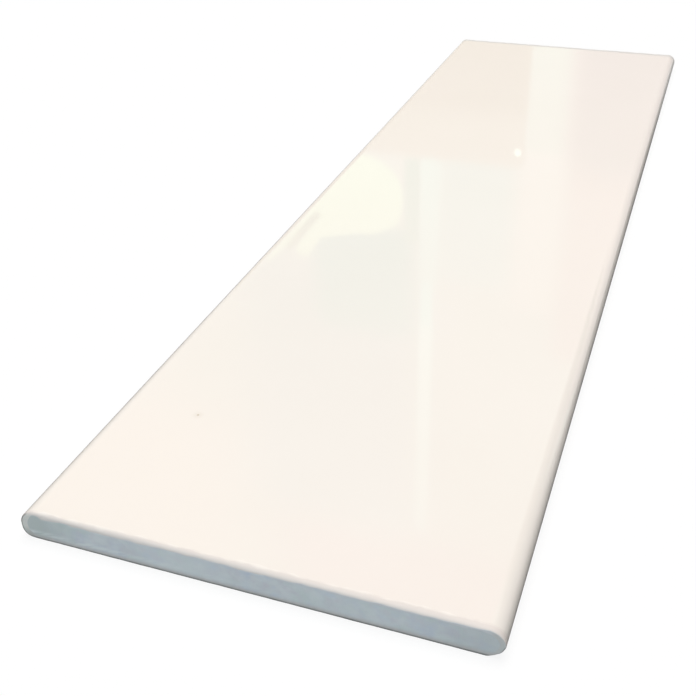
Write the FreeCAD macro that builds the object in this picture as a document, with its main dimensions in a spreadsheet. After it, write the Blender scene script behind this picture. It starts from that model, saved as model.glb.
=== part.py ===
"""Window sill board: one extruded, cross-cut length of cellular PVC board. Sizes are in millimetres.

The board lies flat, as it does on the sill. X runs across its width, from one rounded edge to the other, Y along its
length and Z up. The origin is the middle of the underside. Both long edges are a full bullnose, so that either one can
face the room. Both ends are sawn square and left bare, with only the sharp edge round each cut rubbed round.
"""

import FreeCAD, Part
import os
from enum import IntEnum

import Sketcher

# Each driving dimension, with what it is on the real board.
SIZES = (
    ("board_length", 1000.0, "between the two sawn ends"),
    ("board_width", 280.0, "over both rounded edges"),
    ("board_thickness", 19.0, "underside to top face; the rounded edges take half of it as their radius"),
    ("end_ease", 1.5, "the radius that the sharp edge of each sawn end is rounded to"),
)


class Axis(IntEnum):
    """How a sketch numbers its own two axes."""

    ACROSS = -1
    UPRIGHT = -2


class Point(IntEnum):
    """How a sketch numbers the points of a line or an arc."""

    START = 1
    END = 2
    CENTRE = 3


def make_sheet(doc):
    """The table of driving dimensions: name, value and meaning in columns A, B and C."""
    sheet = doc.addObject("Spreadsheet::Sheet", "Sizes")
    for row, (name, value, meaning) in enumerate(SIZES, start=1):
        sheet.set(f"A{row}", name)
        sheet.set(f"B{row}", str(value))
        sheet.setAlias(f"B{row}", name)
        sheet.set(f"C{row}", meaning)
    doc.recompute()
    return sheet


def origin_plane(body, role):
    """One of a body's own three origin planes."""
    return next(feature for feature in body.Origin.OriginFeatures if feature.Role == role)


def draw_section(body, sheet):
    """The cross-section: flat top and underside, joined at each side by a half circle that is tangent to both."""
    sketch = body.newObject("Sketcher::SketchObject", "BoardSection")
    sketch.AttachmentSupport = [(origin_plane(body, "XZ_Plane"), "")]
    sketch.MapMode = "FlatFace"

    thickness = sheet.board_thickness
    nose_radius = thickness / 2
    flat_width = sheet.board_width - thickness
    place = FreeCAD.Vector
    bottom_left, bottom_right = place(-flat_width / 2, 0), place(flat_width / 2, 0)
    top_left, top_right = place(-flat_width / 2, thickness), place(flat_width / 2, thickness)
    left_tip = place(-flat_width / 2 - nose_radius, nose_radius)
    right_tip = place(flat_width / 2 + nose_radius, nose_radius)

    underside = sketch.addGeometry(Part.LineSegment(bottom_left, bottom_right))
    right_nose = sketch.addGeometry(Part.Arc(bottom_right, right_tip, top_right))
    top_face = sketch.addGeometry(Part.LineSegment(top_right, top_left))
    left_nose = sketch.addGeometry(Part.Arc(top_left, left_tip, bottom_left))

    sketch.addConstraint(
        [
            Sketcher.Constraint("Tangent", underside, Point.END, right_nose, Point.START),
            Sketcher.Constraint("Tangent", right_nose, Point.END, top_face, Point.START),
            Sketcher.Constraint("Tangent", top_face, Point.END, left_nose, Point.START),
            Sketcher.Constraint("Tangent", left_nose, Point.END, underside, Point.START),
            Sketcher.Constraint("Horizontal", underside),
            Sketcher.Constraint("PointOnObject", underside, Point.START, Axis.ACROSS),
            Sketcher.Constraint(
                "Symmetric", left_nose, Point.CENTRE, right_nose, Point.CENTRE, Axis.UPRIGHT
            ),
        ]
    )
    rise = sketch.addConstraint(
        Sketcher.Constraint("DistanceY", underside, Point.START, top_face, Point.END, thickness)
    )
    sketch.renameConstraint(rise, "thickness")
    sketch.setExpression("Constraints.thickness", "Sizes.board_thickness")
    spread = sketch.addConstraint(
        Sketcher.Constraint("DistanceX", left_nose, Point.CENTRE, right_nose, Point.CENTRE, flat_width)
    )
    sketch.renameConstraint(spread, "flat_width")
    sketch.setExpression("Constraints.flat_width", "Sizes.board_width - Sizes.board_thickness")
    return sketch


def sawn_ends(shape):
    """The names of the first and the last face along the board."""
    order = sorted(range(len(shape.Faces)), key=lambda index: shape.Faces[index].CenterOfMass.y)
    return [f"Face{index + 1}" for index in (order[0], order[-1])]


def make_sill_board(doc, sheet):
    """The board: its section carried along the length, half to each side of the origin, with eased sawn ends."""
    body = doc.addObject("PartDesign::Body", "SillBoard")
    body.Label = "sill_board"

    extrusion = body.newObject("PartDesign::Pad", "Extrusion")
    extrusion.Profile = draw_section(body, sheet)
    extrusion.SideType = "Symmetric"
    extrusion.setExpression("Length", "Sizes.board_length")
    doc.recompute()

    ease = body.newObject("PartDesign::Fillet", "EasedEnds")
    ease.Base = (extrusion, sawn_ends(extrusion.Shape))
    ease.setExpression("Radius", "Sizes.end_ease")
    doc.recompute()
    return body


def check(doc, bodies):
    """Stops if any object of the document failed, or a piece isn't one sound solid."""
    for thing in doc.Objects:
        if {"Invalid", "Error"} & set(thing.State):
            raise RuntimeError(f"{thing.Name} failed: {thing.State}")
    for body in bodies:
        shape = body.Shape
        if shape.isNull() or not shape.isValid() or len(shape.Solids) != 1:
            raise RuntimeError(f"{body.Label} isn't one valid solid")


def write(bodies):
    """Each piece as parts/LABEL.step."""
    os.makedirs("parts", exist_ok=True)
    for body in bodies:
        shape = body.Shape
        shape.exportStep(f"parts/{body.Label}.step")
        box = shape.optimalBoundingBox(False, False)
        print(f"{body.Label}: {box.XLength:.2f} x {box.YLength:.2f} x {box.ZLength:.2f} mm, "
              f"{shape.Volume / 1e3:.1f} cm3, lowest point at Z {box.ZMin:.3f}")


doc = FreeCAD.newDocument("WindowSillBoard")
sizes = make_sheet(doc)
pieces = [make_sill_board(doc, sizes)]
check(doc, pieces)
write(pieces)
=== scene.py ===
"""Looks of the window sill board, built round its CAD model.

Metres, in the frame of the CAD: X across the board, Y along it, Z up, with the origin in the middle of
the underside.
"""

import math
from dataclasses import dataclass

import bmesh
import bpy
import numpy as np
from mathutils import Matrix, Vector


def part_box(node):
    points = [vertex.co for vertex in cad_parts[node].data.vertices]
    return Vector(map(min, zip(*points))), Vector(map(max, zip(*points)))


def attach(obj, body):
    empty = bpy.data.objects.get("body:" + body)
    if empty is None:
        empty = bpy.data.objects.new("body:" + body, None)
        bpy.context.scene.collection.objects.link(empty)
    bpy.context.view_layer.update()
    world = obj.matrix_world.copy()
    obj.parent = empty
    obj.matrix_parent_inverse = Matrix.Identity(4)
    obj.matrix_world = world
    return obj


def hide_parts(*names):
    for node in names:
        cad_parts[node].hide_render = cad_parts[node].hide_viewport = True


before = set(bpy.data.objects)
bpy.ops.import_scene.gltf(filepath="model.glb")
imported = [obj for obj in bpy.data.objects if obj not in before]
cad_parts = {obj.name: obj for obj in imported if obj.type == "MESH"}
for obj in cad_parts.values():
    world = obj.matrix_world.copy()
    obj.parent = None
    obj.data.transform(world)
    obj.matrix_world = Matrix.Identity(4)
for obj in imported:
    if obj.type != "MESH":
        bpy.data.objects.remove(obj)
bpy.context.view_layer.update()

MM = 0.001


@dataclass
class Ease:
    """One radius of the edge round a cut, which was rubbed by hand and differs round the outline."""

    least: float  # on the underside and the noses
    most: float  # on the top flat, where it was rubbed most
    lean: float  # how much larger it gets over the board's width, as a share of itself
    worn: float  # twice what is added at the middle of the lower right corner, which is worn away


# The board, as the CAD has it.
BOARD_LOW, BOARD_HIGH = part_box("sill_board")
WIDTH, LENGTH, THICKNESS = (high - low for low, high in zip(BOARD_LOW, BOARD_HIGH))
NOSE = THICKNESS / 2  # the radius of both rounded edges
FLAT = WIDTH / 2 - NOSE  # from the middle of the board to the start of each rounded edge
END = LENGTH / 2  # from the middle of the board to each cut

# How the real board departs from that, by the way it was extruded and handled.
SQUARER = 3.1  # the power of the squarer lower quarter of the left nose; 2 would be a circle
RIPPLE = 0.03 * MM  # how far the top face sinks where the skin ripples along the board
EASED_DOWN = Ease(least=0.45 * MM, most=3.05 * MM, lean=-0.75, worn=3.2 * MM)  # down the cut
EASED_BACK = Ease(least=0.6 * MM, most=3.5 * MM, lean=0.40, worn=6.4 * MM)  # back along the board
UNEVEN = 0.16  # how far the eased edge wanders, as a share of itself
SPECK = (-84.5 * MM, -386.4 * MM, THICKNESS)  # the middle of the one speck of dirt on the top face

# What the circular saw left on the cuts.
KERF_DEPTH = 0.035 * MM
BLADE_RADIUS = 150 * MM
BLADE_ABOVE = 110 * MM  # from the middle of the board up to the blade's centre

# The slots of the board's mesh, in their order.
SKIN, CUT = range(2)

# The camera, as fitted to the outline of the board in the photograph.
PICTURE = 696  # pixels along each side
FOCAL_PX = 1001.4
EYE = (0.1881, -0.8370, 0.3957)
HEADING = 20.593  # degrees anticlockwise from +Y
TILT = -32.423  # degrees above the horizon
ROLL = -1.384  # degrees about the line of sight


# Meshes


def outline(step, turns):
    """The section's outline, which is every point that lies NOSE from a straight line inside it.

    Returns, going round anticlockwise as seen from -Y, the point of that inner line (x, z) that each
    sample belongs to, the outward normal (x, z) there, and how far out along it the outline lies.
    Samples on the flats are a step apart, and each nose has that many turns. Both flats have the same x
    values, so that an outline shrunk onto the line closes on itself.

    The lower quarter of the left nose is squarer than a circle: |x|^n + |z|^n = NOSE^n from the nose's
    centre.
    """
    count = round(2 * FLAT / step)
    along = np.linspace(FLAT, -FLAT, count, endpoint=False)
    angle = np.linspace(math.pi / 2, 3 * math.pi / 2, turns, endpoint=False)
    still = np.zeros(count)
    x = np.concatenate([along, np.full(turns, -FLAT), -along, np.full(turns, FLAT)])
    normal_x = np.concatenate([still, np.cos(angle), still, -np.cos(angle)])
    normal_z = np.concatenate([still + 1, np.sin(angle), still - 1, -np.sin(angle)])
    inner = np.stack([x, np.full(len(x), NOSE)], axis=1)
    power = np.where((normal_x < 0) & (normal_z < 0), SQUARER, 2.0)
    reach = NOSE * (np.abs(normal_x) ** power + np.abs(normal_z) ** power) ** (-1 / power)
    return inner, np.stack([normal_x, normal_z], axis=1), reach


def waves(where, lengths, seed):
    """A smooth random line, about -1 to 1: a sine for each wave length, from a random start."""
    phases = np.random.default_rng(seed).uniform(0, 2 * math.pi, len(lengths))
    sines = np.sin(2 * math.pi * where[..., None] / lengths + phases)
    return sines.sum(axis=-1) / math.sqrt(len(lengths))


def saw_marks(x, z, seed):
    """How far a cut stands out at each point, in ridges along the arcs that the blade's rim drew.

    The rim passed a point when the blade's centre was at x - sqrt(r^2 - (centre height - z)^2), so a
    ridge is a function of that alone. The ridges come 3 to 23 mm apart.
    """
    reach = np.sqrt(BLADE_RADIUS**2 - (NOSE + BLADE_ABOVE - z) ** 2)
    return KERF_DEPTH * waves(x - reach, np.geomspace(3, 23, 7) * MM, seed)


def rubbed_radii(across, normal, seed):
    """How far the eased edge reaches down the cut and back along the board, all round the outline.

    Each radius goes from its least on the noses to its most on the top flat with the square of the
    normal's rise, and it stays smaller where the flat nears a nose. The lower right corner adds to it
    by the product of the normal's two parts. Both radii wander together, in a whole number of waves
    round the outline so that it closes.
    """
    above = np.clip(normal[:, 1], 0, 1) ** 2
    above = above * np.interp(across, (2.75 * MM - FLAT, 5 * MM - FLAT), (0.55, 1))
    above = above * np.interp(across, (FLAT - 8 * MM, FLAT - 1 * MM), (1, 0.5))
    lower_right = np.clip(-normal[:, 1], 0, 1) * np.clip(normal[:, 0], 0, 1)
    turn = np.arange(len(across)) / len(across)
    wander = 1 + UNEVEN * waves(turn, 1 / np.array([6, 9, 14, 21, 31, 45, 64]), seed)
    radii = []
    for ease in (EASED_DOWN, EASED_BACK):
        radius = ease.least + (ease.most - ease.least) * above
        radius = radius * (1 + ease.lean * across / WIDTH)
        radii.append((radius + ease.worn * lower_right) * wander)
    return radii


def end_rows(inner, normal, reach, seed, flat_rows=14, eased_rows=10):
    """One sawn end as rows of (x, distance in from the end, z), from the middle of the cut outwards.

    The rows are the outline inset by less and less: first over the flat cut, where only the saw's marks
    stand out, and fade in the last 1.5 mm, then round the eased edge, which is a quarter of an ellipse.
    """
    down, back = rubbed_radii(inner[:, 0], normal, seed)

    inset = reach + (down - reach) * np.linspace(0, 1, flat_rows)[:, None]
    place = inner + (reach - inset)[..., None] * normal
    x, z = place[..., 0], place[..., 1]
    marks = saw_marks(x, z, seed) * np.clip((inset - down) / (1.5 * MM), 0, 1)
    cut = np.stack([x, -marks, z], axis=-1)

    bend = np.linspace(0, math.pi / 2, eased_rows + 1)[1:, None]
    place = inner + (reach - down * (1 - np.sin(bend)))[..., None] * normal
    eased = np.stack([place[..., 0], back * (1 - np.cos(bend)), place[..., 1]], axis=-1)
    return np.concatenate([cut, eased])


def make_board(step=1.0 * MM, turns=64, stations=48):
    """The board as one closed surface of two parameters, round the section and along it.

    Along it, the surface starts in the middle of the near cut, runs out to the eased edge, down the
    length and back in to the middle of the far cut. The top face sinks by ripples that are 170 to 460
    mm long, most in the middle of the board.
    """
    inner, normal, reach = outline(step, turns)
    near = end_rows(inner, normal, reach, seed=11)
    far = end_rows(inner, normal, reach, seed=12)
    near[..., 1] -= END
    far[..., 1] = END - far[..., 1]

    # The run's first and last rows lie close to the eased edges, so that these shade only themselves.
    close = 0.5 * MM / LENGTH
    share = np.concatenate([[close], np.linspace(0, 1, stations)[1:-1], [1 - close]])[:, None]
    y = near[-1, :, 1] + (far[-1, :, 1] - near[-1, :, 1]) * share
    ripple = RIPPLE * waves(y, np.geomspace(170, 460, 4) * MM, seed=13)
    ripple = ripple * np.cos(math.pi * y / LENGTH) * np.clip(normal[:, 1], 0, 1)
    place = inner + (reach - np.abs(ripple))[..., None] * normal
    run = np.stack([place[..., 0], y, place[..., 1]], axis=-1)

    rows = np.concatenate([near, run, far[::-1]])
    cuts = len(near) - 1
    bands = [CUT] * cuts + [SKIN] * (len(run) + 1) + [CUT] * cuts
    return closed_mesh("extruded_board", rows, bands)


def closed_mesh(name, rows, bands):
    """A mesh from rows that run round a shape, with the points that meet at its two ends merged."""
    count, around = rows.shape[:2]
    here = np.arange(count * around).reshape(count, around)
    beside = np.roll(here, -1, axis=1)
    quads = np.stack([here[:-1], here[1:], beside[1:], beside[:-1]], axis=-1).reshape(-1, 4)
    mesh = bpy.data.meshes.new(name)
    mesh.from_pydata(rows.reshape(-1, 3), [], quads)
    mesh.polygons.foreach_set("material_index", np.repeat(bands, around).astype(np.int32))
    mesh.polygons.foreach_set("use_smooth", np.ones(len(quads), dtype=bool))

    grid = bmesh.new()
    grid.from_mesh(mesh)
    bmesh.ops.remove_doubles(grid, verts=grid.verts, dist=1e-4 * MM)
    grid.to_mesh(mesh)
    grid.free()
    mesh.validate()
    piece = bpy.data.objects.new(name, mesh)
    bpy.context.scene.collection.objects.link(piece)
    return piece


# Materials

# The inputs of a colour Mix node: the second colour's share, the first colour and the second.
SHARE, FIRST, SECOND = 0, 6, 7


def linear(hex_colour):
    """An sRGB colour written as RRGGBB, as linear red, green, blue and alpha."""
    values = [int(hex_colour[i : i + 2], 16) / 255 for i in (0, 2, 4)]
    return [v / 12.92 if v <= 0.04045 else ((v + 0.055) / 1.055) ** 2.4 for v in values] + [1.0]


def new_material(name):
    """A material with an empty node tree, and that tree."""
    material = bpy.data.materials.new(name)
    material.use_nodes = True
    material.node_tree.nodes.clear()
    return material, material.node_tree


def add(tree, kind, inputs=None, **settings):
    """A shader node of a kind, with its settings and its inputs.

    Each input is a plain value, an output of another node, or that node itself, which stands for the
    first of its outputs that is on.
    """
    node = tree.nodes.new(f"ShaderNode{kind}")
    for name, value in settings.items():
        setattr(node, name, value)
    for name, value in (inputs or {}).items():
        if isinstance(value, bpy.types.Node):
            value = next(output for output in value.outputs if output.enabled)
        if isinstance(value, bpy.types.NodeSocket):
            tree.links.new(value, node.inputs[name])
        else:
            node.inputs[name].default_value = value
    return node


def away(tree, value, centre):
    """How far a value lies from a centre, to either side."""
    off = add(tree, "Math", {0: value, 1: centre}, operation="SUBTRACT")
    return add(tree, "Math", {0: off}, operation="ABSOLUTE")


def stained(tree, shade, tint, most, distance, inner, outer):
    """A shade with a stain, at its most up to the inner distance and fading to none at the outer one."""
    cover = add(
        tree,
        "MapRange",
        {"Value": distance, "From Min": inner, "From Max": outer, "To Min": most, "To Max": 0.0},
        interpolation_type="SMOOTHSTEP",
    )
    return add(tree, "Mix", {SHARE: cover, FIRST: shade, SECOND: linear(tint)}, data_type="RGBA")


def scuffed_and_shaded(tree, place, shade):
    """A shade with a grey rubbed in, more and more of it before each cut: partly wear, and partly painted
    shade where the eased edge turns from the light.

    Returns the shade and how much of the grey it holds, from 0 to 1. It is all grey about 2 mm before
    the near cut and 8 mm before the far one, where the grey is darker. It reaches a little further back
    on the right than on the left, where this painted shade hides a highlight, and it fades over 1.5 mm
    in an uneven line.
    """
    x, y, _ = add(tree, "SeparateXYZ", {"Vector": place}).outputs
    along = away(tree, y, -3.0 * MM)
    # Slants back on the right, so that this painted shade hides a highlight there.
    along = add(tree, "Math", {0: x, 1: 0.006, 2: along}, operation="MULTIPLY_ADD")
    uneven = add(tree, "TexNoise", {"Vector": place, "Scale": 1 / (9 * MM), "Detail": 3.0})
    along = add(tree, "Math", {0: uneven, 1: 3.0 * MM, 2: along}, operation="MULTIPLY_ADD")
    amount = add(
        tree,
        "MapRange",
        {"Value": along, "From Min": END - 5.0 * MM, "From Max": END - 3.5 * MM},
    )
    far = add(tree, "MapRange", {"Value": y, "From Min": -100 * MM, "From Max": 100 * MM})
    grey = add(
        tree,
        "Mix",
        {SHARE: far, FIRST: linear("E9DFD8"), SECOND: linear("DAD6D1")},
        data_type="RGBA",
    )
    mixed = add(tree, "Mix", {SHARE: amount, FIRST: shade, SECOND: grey}, data_type="RGBA")
    return mixed, amount


def skin_shade(tree, place):
    """The skin's cream white with its speck, painted shade and grey, and how much grey it holds, 0 to 1.
    """
    # Cloudy shade of the pigment, over about 120 mm.
    cloud = add(tree, "TexNoise", {"Vector": place, "Scale": 1 / (120 * MM), "Detail": 2.0})
    shade = add(
        tree,
        "Mix",
        {SHARE: cloud, FIRST: linear("F7EFE6"), SECOND: linear("FAF2EA")},
        data_type="RGBA",
    )
    shade, rubbed = scuffed_and_shaded(tree, place, shade)

    # A speck of dirt, dried on, in the faint smear that wiping left round it.
    off = add(tree, "VectorMath", {0: place, 1: SPECK}, operation="SUBTRACT")
    distance = add(tree, "VectorMath", {0: off}, operation="LENGTH")
    for inner, outer, most in ((0.4 * MM, 1.1 * MM, 0.55), (0.5 * MM, 5.0 * MM, 0.10)):
        shade = stained(tree, shade, "BBA582", most, distance, inner, outer)

    # Painted shade where the board meets the floor, darker along the foot of the noses and thinly over
    # the underside.
    height = add(tree, "SeparateXYZ", {"Vector": place}).outputs["Z"]
    return stained(tree, shade, "8C8C89", 0.4, height, 1.0 * MM, 2.5 * MM), rubbed


def skin_relief(tree, place):
    """The skin's normal, over its draw lines and pebbling."""
    # Draw lines about 1.5 mm apart that run for some 300 mm.
    stretched = add(tree, "Mapping", {"Vector": place, "Scale": (1.0, 0.005, 1.0)})
    lines = add(
        tree,
        "TexNoise",
        {"Vector": stretched, "Scale": 1 / (1.5 * MM), "Detail": 3.0, "Roughness": 0.6},
    )
    drawn = add(tree, "Bump", {"Height": lines, "Strength": 1.0, "Distance": 0.0008 * MM})

    # The faint pebbling that glossy plastic keeps from its melt, about 6 mm across.
    pebble = add(tree, "TexNoise", {"Vector": place, "Scale": 1 / (6 * MM), "Detail": 1.0})
    return add(tree, "Bump", {"Height": pebble, "Strength": 1.0, "Distance": 0.002 * MM, "Normal": drawn})


def extruded_pvc_skin():
    """Rigid PVC, calibrated and cooled against polished steel: a hard, clean, mirror-like white.

    The eye sees sharp reflections that bend a little over the ripple of the calibrator, fine draw lines
    along the length, a cream white that hardly varies, and the less glossy, greyer last millimetres
    before each sawn end, whose grey is partly wear and partly painted shade.
    """
    material, tree = new_material("extruded_pvc_skin")
    place = add(tree, "TexCoord").outputs["Object"]
    shade, rubbed = skin_shade(tree, place)

    # A wiped surface: gloss that dulls a little in patches of about 50 mm, and more where it was rubbed.
    smear = add(tree, "TexNoise", {"Vector": place, "Scale": 1 / (50 * MM), "Detail": 3.0})
    gloss = add(
        tree,
        "MapRange",
        {"Value": smear, "From Min": 0.35, "From Max": 0.7, "To Min": 0.02, "To Max": 0.035},
    )
    gloss = add(tree, "Math", {0: rubbed, 1: 0.5, 2: gloss}, operation="MULTIPLY_ADD")

    shader = add(
        tree,
        "BsdfPrincipled",
        {"Base Color": shade, "Roughness": gloss, "IOR": 1.53, "Normal": skin_relief(tree, place)},
    )
    add(tree, "OutputMaterial", {"Surface": shader})
    return material


def depth_in_cut(tree, x, z):
    """How deep a point of the cut lies inside the outline, and how far past the flats it lies in a nose.

    The depth is NOSE less the distance from the section's inner line, with the power of its quarter as
    in outline.
    """
    past = add(tree, "Math", {0: x}, operation="ABSOLUTE")
    past = add(tree, "Math", {0: past, 1: FLAT}, operation="SUBTRACT")
    past = add(tree, "Math", {0: past, 1: 0.0}, operation="MAXIMUM")
    lower = add(tree, "Math", {0: z, 1: NOSE}, operation="LESS_THAN")
    left = add(tree, "Math", {0: x, 1: 0.0}, operation="LESS_THAN")
    quarter = add(tree, "Math", {0: left, 1: lower}, operation="MULTIPLY")
    power = add(tree, "Math", {0: quarter, 1: SQUARER - 2.0, 2: 2.0}, operation="MULTIPLY_ADD")
    across = add(tree, "Math", {0: past, 1: power}, operation="POWER")
    upright = add(tree, "Math", {0: away(tree, z, NOSE), 1: power}, operation="POWER")
    reach = add(tree, "Math", {0: across, 1: upright})
    root = add(tree, "Math", {0: 1.0, 1: power}, operation="DIVIDE")
    reach = add(tree, "Math", {0: reach, 1: root}, operation="POWER")
    return add(tree, "Math", {0: NOSE, 1: reach}, operation="SUBTRACT"), past


def foam_share(tree, place, x, z, depth, past):
    """0 in the rim that the skin shows round the cut and 1 in the foam, with a ragged line between them.

    The skin is a little thicker above than below, but thin above on the left, and thickest on the left
    nose.
    """
    skin = add(
        tree,
        "MapRange",
        {"Value": z, "From Max": THICKNESS, "To Min": 2.4 * MM, "To Max": 2.8 * MM},
    )
    lean = add(
        tree,
        "MapRange",
        {"Value": x, "From Min": -FLAT, "From Max": 50 * MM - FLAT, "To Min": -0.075, "To Max": 0.0},
    )
    skin = add(tree, "Math", {0: lean, 1: z, 2: skin}, operation="MULTIPLY_ADD")
    most = add(tree, "Math", {0: x, 1: -0.008, 2: 1.5 * MM}, operation="MULTIPLY_ADD")
    bulge = add(
        tree,
        "MapRange",
        {"Value": past, "From Max": NOSE / 2, "To Max": most},
        interpolation_type="SMOOTHSTEP",
    )
    skin = add(tree, "Math", {0: skin, 1: bulge})
    ragged = add(
        tree,
        "TexNoise",
        {"Vector": place, "Scale": 1 / (9 * MM), "Detail": 4.0, "Roughness": 0.6},
    )
    ragged = add(tree, "MapRange", {"Value": ragged, "To Min": -1.6 * MM, "To Max": 1.6 * MM})
    skin = add(tree, "Math", {0: skin, 1: ragged})
    return add(
        tree,
        "MapRange",
        {
            "Value": add(tree, "Math", {0: depth, 1: skin}, operation="SUBTRACT"),
            "From Min": -0.4 * MM,
            "From Max": 0.4 * MM,
        },
        interpolation_type="SMOOTHSTEP",
    )


def blade_arcs(tree, x, z):
    """Light and dark along the blade's arcs: a noise of where its centre was, as in saw_marks."""
    drop = add(tree, "Math", {0: NOSE + BLADE_ABOVE, 1: z}, operation="SUBTRACT")
    square = add(tree, "Math", {0: drop, 1: 2.0}, operation="POWER")
    rest = add(tree, "Math", {0: BLADE_RADIUS**2, 1: square}, operation="SUBTRACT")
    reach = add(tree, "Math", {0: rest}, operation="SQRT")
    return add(
        tree,
        "TexNoise",
        {
            "W": add(tree, "Math", {0: x, 1: reach}, operation="SUBTRACT"),
            "Scale": 1 / (9 * MM),
            "Detail": 4.0,
            "Roughness": 0.6,
        },
        noise_dimensions="1D",
    )


def torn_fibres(tree, place, x, z):
    """How much torn foam shows: streaks 14 mm long, 5 mm above the underside, and most on the left."""
    slanted = add(
        tree,
        "Mapping",
        {"Vector": place, "Rotation": (0.0, math.radians(-17), 0.0), "Scale": (14 * MM, 1.0, 1.6 * MM)},
        vector_type="TEXTURE",
    )
    streak = add(tree, "TexNoise", {"Vector": slanted, "Scale": 1.0, "Detail": 3.0})
    streak = add(tree, "MapRange", {"Value": streak, "From Min": 0.38, "From Max": 0.62, "To Max": 0.8})
    band = add(
        tree,
        "MapRange",
        {"Value": away(tree, z, 5.0 * MM), "From Max": 3.0 * MM, "To Min": 1.0, "To Max": 0.0},
        interpolation_type="SMOOTHSTEP",
    )
    left = add(
        tree,
        "MapRange",
        {"Value": x, "From Min": -70 * MM, "From Max": 20 * MM, "To Min": 1.0, "To Max": 0.2},
    )
    streak = add(tree, "Math", {0: streak, 1: band}, operation="MULTIPLY")
    return add(tree, "Math", {0: streak, 1: left}, operation="MULTIPLY")


def foam_shade(tree, place, x, z):
    """The foam's pale grey, with the blade's arcs, its tints, the paler stretches and the torn fibres."""
    arcs = blade_arcs(tree, x, z)
    shade = add(
        tree,
        "Mix",
        {SHARE: arcs, FIRST: linear("DDDEE0"), SECOND: linear("E8E8E9")},
        data_type="RGBA",
    )

    # Patches of 6 to 20 mm where the foam is a little greener, bluer, redder or paler.
    for size, tint, most in (
        (20 * MM, "D7DFDA", 0.6),
        (11 * MM, "D9DCE8", 0.7),
        (6 * MM, "E0DADF", 0.6),
        (8 * MM, "EEEFEE", 0.5),
    ):
        patch = add(tree, "TexNoise", {"Vector": place, "Scale": 1 / size, "Detail": 2.0})
        patch = add(
            tree,
            "MapRange",
            {"Value": patch, "From Min": 0.45, "From Max": 0.65, "To Max": most},
        )
        shade = add(tree, "Mix", {SHARE: patch, FIRST: shade, SECOND: linear(tint)}, data_type="RGBA")

    # Two paler stretches, where the blade tore more of the foam, and a darker grey towards both noses.
    for centre, inner, outer, most, tint in (
        (-38 * MM, 12 * MM, 45 * MM, 0.5, "F0F1F0"),
        (62 * MM, 12 * MM, 58 * MM, 0.3, "F0F1F0"),
        (-FLAT, 0, 34 * MM, 0.75, "CED2CC"),
        (FLAT, 0, 35 * MM, 0.45, "D0D2CF"),
    ):
        shade = stained(tree, shade, tint, most, away(tree, x, centre), inner, outer)

    torn = torn_fibres(tree, place, x, z)
    return add(tree, "Mix", {SHARE: torn, FIRST: shade, SECOND: linear("F4F4F2")}, data_type="RGBA")


def rim_shade(tree, grain, x, z):
    """The skin's rim round the cut: cream on the left nose, greyer elsewhere, painted shade on the right.
    """
    rim = add(
        tree,
        "Mix",
        {SHARE: grain, FIRST: linear("E2DFDF"), SECOND: linear("ECE9EA")},
        data_type="RGBA",
    )
    # Darker towards the foot of the left nose.
    height = add(tree, "MapRange", {"Value": z, "From Min": 3.0 * MM, "From Max": 8.0 * MM})
    cream = add(
        tree,
        "Mix",
        {SHARE: height, FIRST: linear("CFCEC9"), SECOND: linear("F6F0E8")},
        data_type="RGBA",
    )
    clean = add(
        tree,
        "MapRange",
        {"Value": x, "From Min": 1 * MM - FLAT, "From Max": -4 * MM - FLAT},
        interpolation_type="SMOOTHSTEP",
    )
    rim = add(tree, "Mix", {SHARE: clean, FIRST: rim, SECOND: cream}, data_type="RGBA")
    # Painted shade: the rim is darker on the right nose, which faces away from the light.
    shaded_right_nose = add(
        tree,
        "MapRange",
        {"Value": x, "From Min": FLAT, "From Max": FLAT + 5 * MM},
        interpolation_type="SMOOTHSTEP",
    )
    return add(tree, "Mix", {SHARE: shaded_right_nose, FIRST: rim, SECOND: linear("DEDAD6")}, data_type="RGBA")


def rubbed_edge(tree, place, shade, depth):
    """A shade with the edge that was rubbed round the cut.

    That edge is all that lies further in from the end than the saw's marks. It has the grey that the
    skin takes before each cut, and a dark painted shade round the noses and along the lower edge, where
    the edge turns down from the light, which pales towards the top.
    """
    x, y, z = add(tree, "SeparateXYZ", {"Vector": place}).outputs
    back = add(tree, "Math", {0: y}, operation="ABSOLUTE")
    back = add(tree, "Math", {0: END, 1: back}, operation="SUBTRACT")
    rubbed = add(
        tree,
        "MapRange",
        {"Value": back, "From Min": 0.03 * MM, "From Max": 0.3 * MM},
        interpolation_type="SMOOTHSTEP",
    )
    dulled_and_shaded = scuffed_and_shaded(tree, place, linear("F8F0E8"))[0]
    shade = add(tree, "Mix", {SHARE: rubbed, FIRST: shade, SECOND: dulled_and_shaded}, data_type="RGBA")

    # Painted shade: a dark outline round the noses and along the lower edge, darkest at the foot.
    outline_shade = add(
        tree,
        "MapRange",
        {"Value": depth, "From Min": 0.3 * MM, "From Max": 1.2 * MM, "To Min": 1.0, "To Max": 0.0},
        interpolation_type="SMOOTHSTEP",
    )
    height = add(tree, "Math", {0: x, 1: 0.03, 2: z}, operation="MULTIPLY_ADD")
    below = add(
        tree,
        "MapRange",
        {"Value": height, "From Min": 9.6 * MM, "From Max": 14.6 * MM, "To Min": 1.0, "To Max": 0.0},
        interpolation_type="SMOOTHSTEP",
    )
    outline_shade = add(tree, "Math", {0: outline_shade, 1: below}, operation="MULTIPLY")
    paler_upwards = add(tree, "MapRange", {"Value": z, "From Min": 3.0 * MM, "From Max": 9.0 * MM})
    dark_shade = add(
        tree,
        "Mix",
        {SHARE: paler_upwards, FIRST: linear("343432"), SECOND: linear("53514E")},
        data_type="RGBA",
    )
    return add(tree, "Mix", {SHARE: outline_shade, FIRST: shade, SECOND: dark_shade}, data_type="RGBA")


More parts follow.
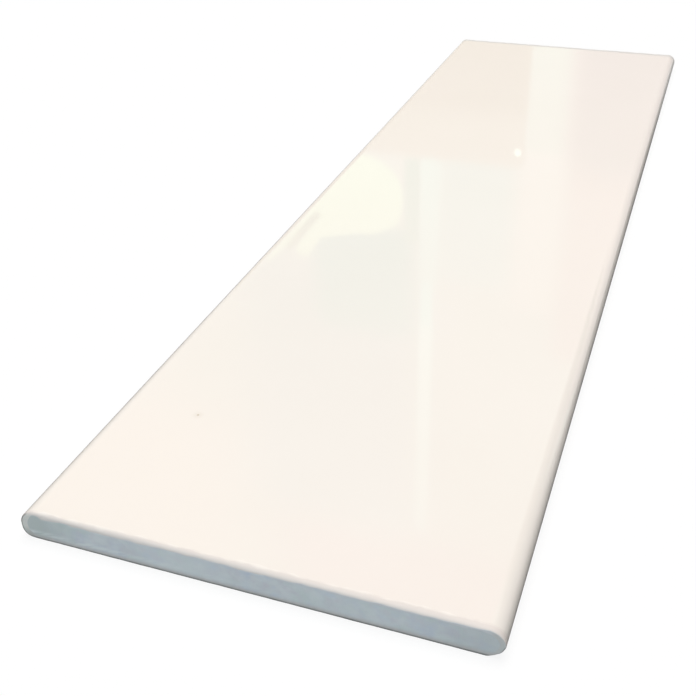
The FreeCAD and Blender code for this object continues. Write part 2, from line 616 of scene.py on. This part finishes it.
def sawn_foamed_pvc():
    """Foamed PVC, cross-cut by a saw: a matt, pale grey foam inside a creamier rim of dense skin.

    The skin comes from the way the board is made, foaming inwards from its cooled faces. Its inner edge
    is ragged, and the edge that was rubbed round is greyer, with a dark painted shade round the noses
    and along the foot. The cells of the real foam are about 0.2 mm and are drawn at 0.6 mm so that they
    show.
    """
    material, tree = new_material("sawn_foamed_pvc")
    place = add(tree, "TexCoord").outputs["Object"]
    x, _, z = add(tree, "SeparateXYZ", {"Vector": place}).outputs
    depth, past = depth_in_cut(tree, x, z)
    foam = foam_share(tree, place, x, z, depth, past)
    grain = add(tree, "TexNoise", {"Vector": place, "Scale": 1 / (0.9 * MM), "Detail": 3.0})

    rim = rim_shade(tree, grain, x, z)
    core = foam_shade(tree, place, x, z)
    shade = add(tree, "Mix", {SHARE: foam, FIRST: rim, SECOND: core}, data_type="RGBA")
    shade = rubbed_edge(tree, place, shade, depth)

    # Painted shade in the lowest millimetres of the cut, darkest along the lower edge.
    for top, most, tint in (
        (5.0 * MM, 0.7, "DDD0C6"),
        (3.5 * MM, 0.15, "6E6E6C"),
        (1.9 * MM, 0.75, "6E6E6C"),
    ):
        shade = stained(tree, shade, tint, most, z, 0.3 * MM, top)

    # The foam is pitted by its cells, and all of the cut has a fine grain.
    cells = add(tree, "TexVoronoi", {"Vector": place, "Scale": 1 / (0.6 * MM)})
    pits = add(tree, "Math", {0: cells, 1: foam}, operation="MULTIPLY")
    pitted = add(tree, "Bump", {"Height": pits, "Strength": 1.0, "Distance": 0.08 * MM}, invert=True)
    relief = add(
        tree,
        "Bump",
        {"Height": grain, "Strength": 1.0, "Distance": 0.03 * MM, "Normal": pitted},
    )
    rough = add(tree, "MapRange", {"Value": foam, "To Min": 0.5, "To Max": 0.75})
    shader = add(
        tree,
        "BsdfPrincipled",
        {"Base Color": shade, "Roughness": rough, "IOR": 1.5, "Normal": relief},
    )
    add(tree, "OutputMaterial", {"Surface": shader})
    return material


def dress_board():
    """The board's finished mesh in place of its CAD solid."""
    board = make_board()
    for material in (extruded_pvc_skin(), sawn_foamed_pvc()):
        board.data.materials.append(material)
    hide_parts("sill_board")
    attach(board, "root")


# The floor, the lights and the camera

WHITE = (1.0, 1.0, 1.0, 1.0)


def lying(half_x, half_y, z):
    """The corners of a level sheet, that far to each side of the origin."""
    return [(-half_x, -half_y, z), (half_x, -half_y, z), (half_x, half_y, z), (-half_x, half_y, z)]


def standing(start, stop, top):
    """The corners of a sheet that stands on the floor, from one point (x, y) to another and up to top."""
    return [(*start, 0), (*stop, 0), (*stop, top), (*start, top)]


def lay_sheet(name, corners, material):
    """A flat face through four corners."""
    mesh = bpy.data.meshes.new(name)
    mesh.from_pydata(corners, [], [(0, 1, 2, 3)])
    mesh.materials.append(material)
    sheet = bpy.data.objects.new(name, mesh)
    bpy.context.scene.collection.objects.link(sheet)
    return sheet


def seen_rays(tree):
    """1 for the rays by which the camera sees a thing, straight or in gloss, and 0 for all others."""
    path = add(tree, "LightPath")
    seen = path.outputs["Is Camera Ray"]
    for name in ("Is Glossy Ray", "Is Transmission Ray"):
        seen = add(tree, "Math", {0: seen, 1: path.outputs[name]}, operation="MAXIMUM")
    return seen


def lay_floor():
    """A pale floor: white to the camera and the gloss, with a light shadow of the board, else grey."""
    material, tree = new_material("pale_floor")
    grey = add(tree, "BsdfDiffuse", {"Color": (0.35, 0.35, 0.35, 1.0)})
    shaded = add(tree, "BsdfDiffuse", {"Color": WHITE})
    glow = add(tree, "Emission", {"Color": WHITE, "Strength": 1.0})
    # Mostly glow, so that the shadow stays light.
    white = add(tree, "MixShader", {0: 0.88, 1: shaded, 2: glow})
    either = add(tree, "MixShader", {0: seen_rays(tree), 1: grey, 2: white})
    add(tree, "OutputMaterial", {"Surface": either})
    lay_sheet("floor", lying(20.0, 20.0, -0.05 * MM), material)


@dataclass
class Card:
    """A soft rectangle of light on the mirrored wall, in metres: x to the right and z up."""

    name: str
    centre: tuple
    size: tuple
    tint: tuple  # linear red, green and blue, where 1 is white
    corner: float  # the radius of its corners
    blur: float  # how far its edge fades, to each side
    turn: float = 0.0  # degrees, clockwise


# The cards, each laid over those before it. The lower one hangs, the further along the board it shows.
WALL_TINT = (0.95, 1.03, 0.95)
BRIGHT = (1.14, 1.46, 1.07)
CARDS = (
    Card("warm, for the near left", (-2.15, 2.75), (1.30, 1.30), (1.28, 1.15, 1.02), 0.30, 0.30),
    Card("rose, for the near right", (-0.50, 3.20), (1.60, 1.20), (1.05, 0.72, 0.76), 0.20, 0.20),
    Card("cool, for the middle", (-1.02, 1.95), (0.72, 1.30), (0.73, 0.88, 0.90), 0.15, 0.15),
    Card("green, under the bright card", (-0.885, 1.395), (0.38, 0.44), (0.45, 0.84, 0.79), 0.06, 0.05),
    Card("cool, right of the streak", (-0.485, 1.095), (0.24, 0.50), (0.80, 1.02, 0.96), 0.05, 0.04),
    Card("shade left of the streak", (-0.705, 1.06), (0.056, 0.31), (0.60, 0.90, 0.77), 0.015, 0.012),
    Card("tall streak", (-0.647, 1.70), (0.046, 1.62), (0.85, 1.38, 1.28), 0.015, 0.010),
    Card("low end of the streak", (-0.647, 2.05), (0.048, 1.00), (1.15, 1.50, 1.40), 0.015, 0.012),
    Card("broad foot of the streak", (-0.641, 1.13), (0.070, 0.46), (0.90, 1.25, 1.15), 0.015, 0.010),
    Card("top of the band", (-0.265, 0.90), (0.152, 1.05), (1.12, 1.11, 1.03), 0.04, 0.02),
    Card("rose, right of the band", (0.81, 0.80), (2.00, 1.60), (0.98, 0.81, 0.78), 0.05, 0.04),
    Card("dark step", (-1.352, 0.447), (2.04, 0.90), (0.87, 0.81, 0.68), 0.02, 0.012),
    Card("darker step", (-1.355, 0.30), (2.04, 0.86), (0.78, 0.70, 0.58), 0.04, 0.04),
    Card("foot of the band", (-0.271, 0.42), (0.122, 0.84), (0.97, 1.06, 0.95), 0.02, 0.010),
    Card("dusk at the far right", (0.80, 0.45), (2.00, 0.90), (0.77, 0.67, 0.67), 0.09, 0.05),
    Card("dark, for the right edge", (1.10, 1.95), (1.90, 1.50), (0.25, 0.25, 0.20), 0.15, 0.10),
    Card("bright card", (-0.937, 1.060), (0.398, 0.304), BRIGHT, 0.152, 0.005),
    Card("its slanting head", (-0.9365, 1.127), (0.391, 0.180), BRIGHT, 0.090, 0.005, 14.3),
    Card("its first bar", (-1.081, 1.252), (0.180, 0.052), BRIGHT, 0.022, 0.006, 54.5),
    Card("its long bar", (-1.155, 1.227), (0.370, 0.050), BRIGHT, 0.022, 0.006, 46.6),
    Card("the gap between them", (-1.116, 1.230), (0.200, 0.026), (0.60, 0.76, 0.56), 0.012, 0.007, 50.2),
    Card("spark", (-0.357, 0.848), (0.022, 0.026), (1.60, 1.95, 1.70), 0.011, 0.006),
)


def lay_card(tree, place, below, card):
    """Lays one card over the wall's colours, with rounded corners and a blurred edge.

    The distance outside a rectangle that is smaller by the corner's radius is the length of the
    positive part of |p| - half its size, where p is the place seen from its centre.
    """
    local = add(
        tree,
        "Mapping",
        {
            "Vector": place,
            "Location": (card.centre[0], 0.0, card.centre[1]),
            "Rotation": (0.0, math.radians(card.turn), 0.0),
        },
        label=card.name,
        vector_type="TEXTURE",
    )
    half = (card.size[0] / 2 - card.corner, 1e3, card.size[1] / 2 - card.corner)  # endless along y
    off = add(tree, "VectorMath", {0: local}, operation="ABSOLUTE")
    off = add(tree, "VectorMath", {0: off, 1: half}, operation="SUBTRACT")
    off = add(tree, "VectorMath", {0: off, 1: (0.0, 0.0, 0.0)}, operation="MAXIMUM")
    off = add(tree, "VectorMath", {0: off}, operation="LENGTH")
    cover = add(
        tree,
        "MapRange",
        {
            "Value": off,
            "From Min": card.corner - card.blur,
            "From Max": card.corner + card.blur,
            "To Min": 1.0,
            "To Max": 0.0,
        },
        interpolation_type="SMOOTHSTEP",
    )
    return add(tree, "Mix", {SHARE: cover, FIRST: below, SECOND: (*card.tint, 1.0)}, data_type="RGBA")


STRIP_TOP = 0.7  # the height of the low strip on the left
STRIP_STOP = 1.1  # where it ends, before the far half of the board mirrors it
UNDERLAY_PAST = 0.25  # how far the dark card reaches past the board, which mirrors it as a thin outline


def wall_colour(tree, place):
    """The wall beyond the far end: pale, with the cards on it."""
    colour = (*WALL_TINT, 1.0)
    for card in CARDS:
        colour = lay_card(tree, place, colour, card)
    return colour


def side_colour(_tree, _place):
    """The wall on the right: plain grey."""
    return (0.4, 0.4, 0.4, 1.0)


def strip_colour(tree, place):
    """The low strip on the left: dark at its foot, white at its top and where it ends."""
    _, y, z = add(tree, "SeparateXYZ", {"Vector": place}).outputs
    rise = add(tree, "MapRange", {"Value": z, "From Max": STRIP_TOP, "To Min": 0.15, "To Max": 1.0})
    along = add(tree, "MapRange", {"Value": y, "From Min": STRIP_STOP - 0.5, "From Max": STRIP_STOP})
    return add(tree, "Math", {0: rise, 1: along}, operation="MAXIMUM")


def underlay_colour(tree, place):
    """The dark card under the board. It pales to the far end, later on its right than on its left."""
    x, y, _ = add(tree, "SeparateXYZ", {"Vector": place}).outputs
    along = add(tree, "Math", {0: x, 1: -1.6, 2: y}, operation="MULTIPLY_ADD")
    pale = add(tree, "MapRange", {"Value": along, "From Max": END})
    dark = (0.03, 0.03, 0.03, 1.0)
    return add(tree, "Mix", {SHARE: pale, FIRST: dark, SECOND: (0.6, 0.6, 0.6, 1.0)}, data_type="RGBA")


def hang_mirrored(name, corners, colour):
    """A sheet that is seen in gloss alone: it lights nothing and stops no light.

    It glows in the colour that the function of that name builds from a tree and the place on the sheet.
    """
    material, tree = new_material(name)
    place = add(tree, "TexCoord").outputs["Object"]
    glow = add(tree, "Emission", {"Color": colour(tree, place), "Strength": 1.0})
    add(tree, "OutputMaterial", {"Surface": glow})
    sheet = lay_sheet(name, corners, material)
    sheet.visible_camera = False
    sheet.visible_diffuse = False
    sheet.visible_transmission = False
    sheet.visible_volume_scatter = False
    sheet.visible_shadow = False


def hang_reflectors():
    """What the gloss mirrors: two walls, a strip on the left and a dark card under the board."""
    hang_mirrored("reflected_wall", standing((-5, 2.2), (4, 2.2), 6), wall_colour)
    hang_mirrored("reflected_side", standing((2, -3), (2, 2.1), 3), side_colour)
    hang_mirrored("reflected_strip", standing((-1.2, -3), (-1.2, STRIP_STOP), STRIP_TOP), strip_colour)
    underlay = lying(WIDTH / 2 + UNDERLAY_PAST, END + UNDERLAY_PAST, -0.03 * MM)
    hang_mirrored("reflected_card", underlay, underlay_colour)


def light_world():
    """Soft cool light from all round, in front of which the camera and the gloss see white."""
    world = bpy.data.worlds.new("studio")
    bpy.context.scene.world = world
    world.use_nodes = True
    tree = world.node_tree
    tree.nodes.clear()
    soft = add(tree, "Background", {"Color": (0.09, 0.11, 0.12, 1.0), "Strength": 1.0})
    white = add(tree, "Background", {"Color": WHITE, "Strength": 1.0})
    either = add(tree, "MixShader", {0: seen_rays(tree), 1: soft, 2: white})
    add(tree, "OutputWorld", {"Surface": either})


def hang_light(name, strength, colour, spread, from_side):
    """A soft light at a great distance, on the side that from_side points to.

    A strength of 1 lights white to white, and the spread is in degrees.
    """
    lamp = bpy.data.lights.new(name, "SUN")
    lamp.energy = math.pi * strength
    lamp.color = colour
    lamp.angle = math.radians(spread)
    light = bpy.data.objects.new(name, lamp)
    light.matrix_world = Vector(from_side).to_track_quat("Z", "Y").to_matrix().to_4x4()
    light.visible_glossy = False
    bpy.context.scene.collection.objects.link(light)


def place_camera():
    """The camera of the photograph: where it stood, and how far it was turned, tilted and rolled."""
    camera = bpy.data.objects.new("camera", bpy.data.cameras.new("camera"))
    camera.data.sensor_width = 36.0
    camera.data.lens = camera.data.sensor_width * FOCAL_PX / PICTURE
    camera.data.clip_start = 0.01
    turn = Matrix.Rotation(math.radians(HEADING), 4, "Z")
    tilt = Matrix.Rotation(math.radians(90 + TILT), 4, "X")
    roll = Matrix.Rotation(math.radians(ROLL), 4, "Z")
    camera.matrix_world = Matrix.Translation(EYE) @ turn @ tilt @ roll
    bpy.context.scene.collection.objects.link(camera)
    bpy.context.scene.camera = camera


dress_board()
lay_floor()
hang_reflectors()
light_world()
hang_light("overhead", strength=0.85, colour=(1.0, 0.953, 0.924), spread=45, from_side=(0.0, 0.2, 1.0))
hang_light("front", strength=0.393, colour=(0.825, 1.0, 1.10), spread=60, from_side=(0.0, -0.96, 0.28))
place_camera()
bpy.context.scene.view_settings.view_transform = "Standard"
